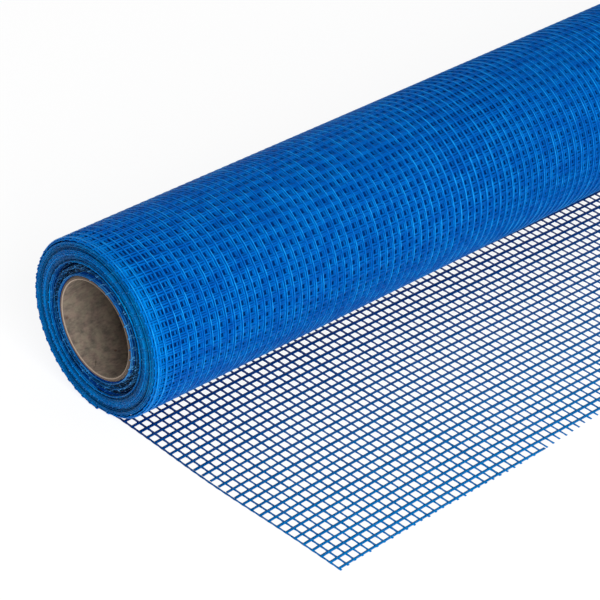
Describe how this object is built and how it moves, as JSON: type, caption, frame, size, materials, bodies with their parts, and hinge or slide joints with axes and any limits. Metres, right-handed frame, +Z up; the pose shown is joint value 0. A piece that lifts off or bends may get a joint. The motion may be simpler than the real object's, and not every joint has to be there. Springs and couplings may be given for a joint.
{
  "type": "roll of fiberglass mesh",
  "caption": "Roll of open coated glass-fibre reinforcing mesh wound on a cardboard core, lying on its side with its loose end flat on the floor.",
  "frame": {"origin": "middle of the footprint of the roll and its loose end, on the floor", "axes": "+X along the core, +Z up, the loose end towards -Y"},
  "size_m": [1.005, 0.1858, 0.0804],
  "materials": {
    "cardboard": "matt grey-brown spiral-wound board",
    "coated_glass_fibre": "satin blue alkali-resistant coating on open glass yarn"
  },
  "bodies": {
    "root": {"cardboard_core": "cardboard", "fiberglass_mesh": "coated_glass_fibre"}
  },
  "joints": []
}
